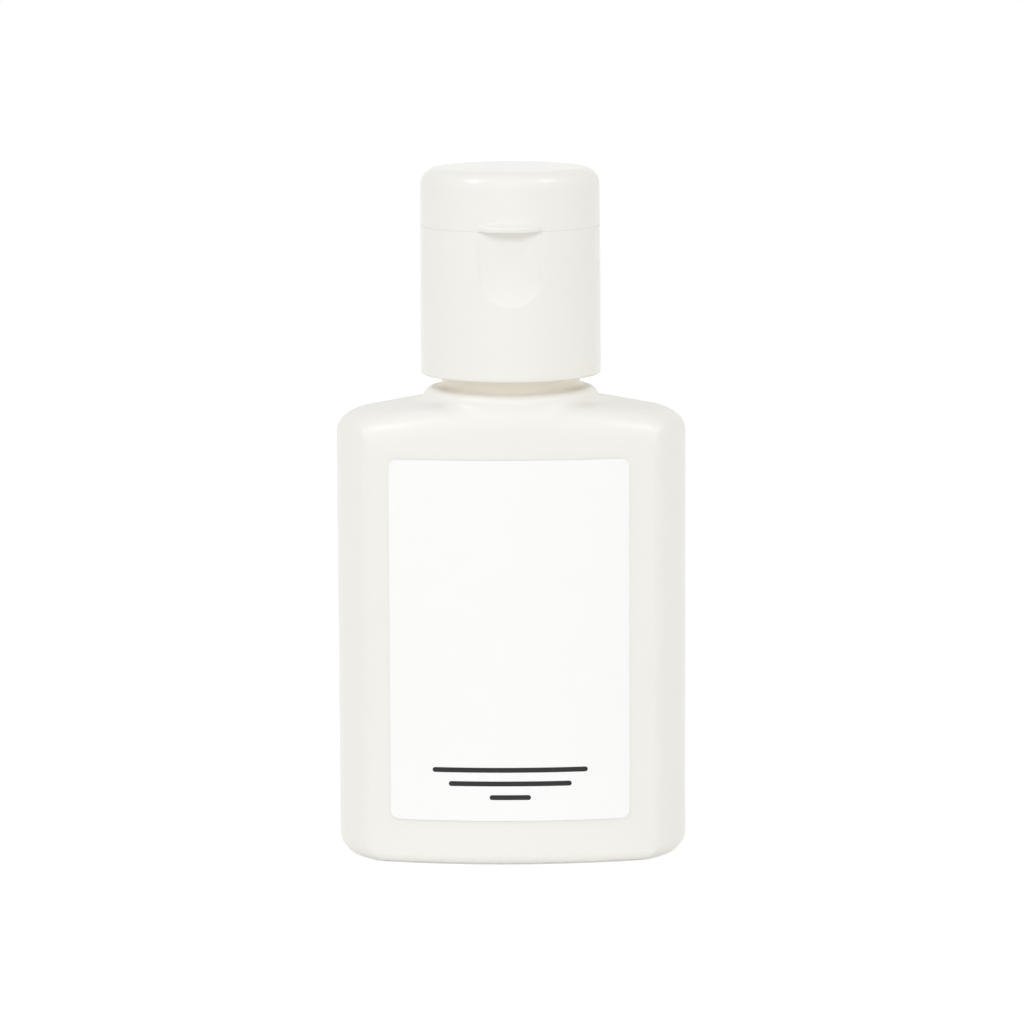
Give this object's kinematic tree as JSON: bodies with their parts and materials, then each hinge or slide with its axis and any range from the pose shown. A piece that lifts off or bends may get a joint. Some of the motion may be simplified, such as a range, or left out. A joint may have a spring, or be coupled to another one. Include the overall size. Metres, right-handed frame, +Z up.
{
  "type": "flip-top lotion bottle",
  "caption": "Pocket lotion bottle: flat-sided body with sloping shoulders, front label, screw neck and round flip-top cap with a nozzle, hinged lid and thumb ledge.",
  "frame": {"origin": "on the surface that the bottle stands on, on the axis of the neck and cap, under the middle of the body", "axes": "+Z up along the neck's axis, -Y towards the label and the lid's thumb ledge, +X to the right of someone who faces the label"},
  "size_m": [0.035, 0.0201, 0.0689],
  "materials": {
    "bottle_plastic": "blow-moulded white polyethylene, soft gloss",
    "label_film": "white satin label film",
    "washer_foam": "expanded polyethylene foam, matt",
    "cap_plastic": "injection-moulded white polypropylene, soft gloss"
  },
  "bodies": {
    "bottle": {"bottle": "bottle_plastic", "front_label": "label_film"},
    "washer": {"sealing_washer": "washer_foam"},
    "cap": {"cap_base": "cap_plastic", "living_hinge": "cap_plastic"},
    "lid": {"cap_lid": "cap_plastic"}
  },
  "joints": [
    {"name": "cap_lift", "type": "slide", "parent": "bottle", "child": "washer", "axis": [0, 0, 1], "range_m": [0, 0.00423]},
    {"name": "cap_turn", "type": "hinge", "parent": "washer", "child": "cap", "pos_m": [0, 0, 0.0619], "axis": [0, 0, 1], "range_deg": [0, 720]},
    {"name": "lid_flip", "type": "hinge", "parent": "cap", "child": "lid", "pos_m": [0, 0.00947, 0.06313], "axis": [-1, 0, 0], "range_deg": [0, 170], "deforming": ["living_hinge"]}
  ],
  "couplings": [
    {"joint": "cap_lift", "follows": "cap_turn", "m_per_rad": 0.00033689}
  ]
}
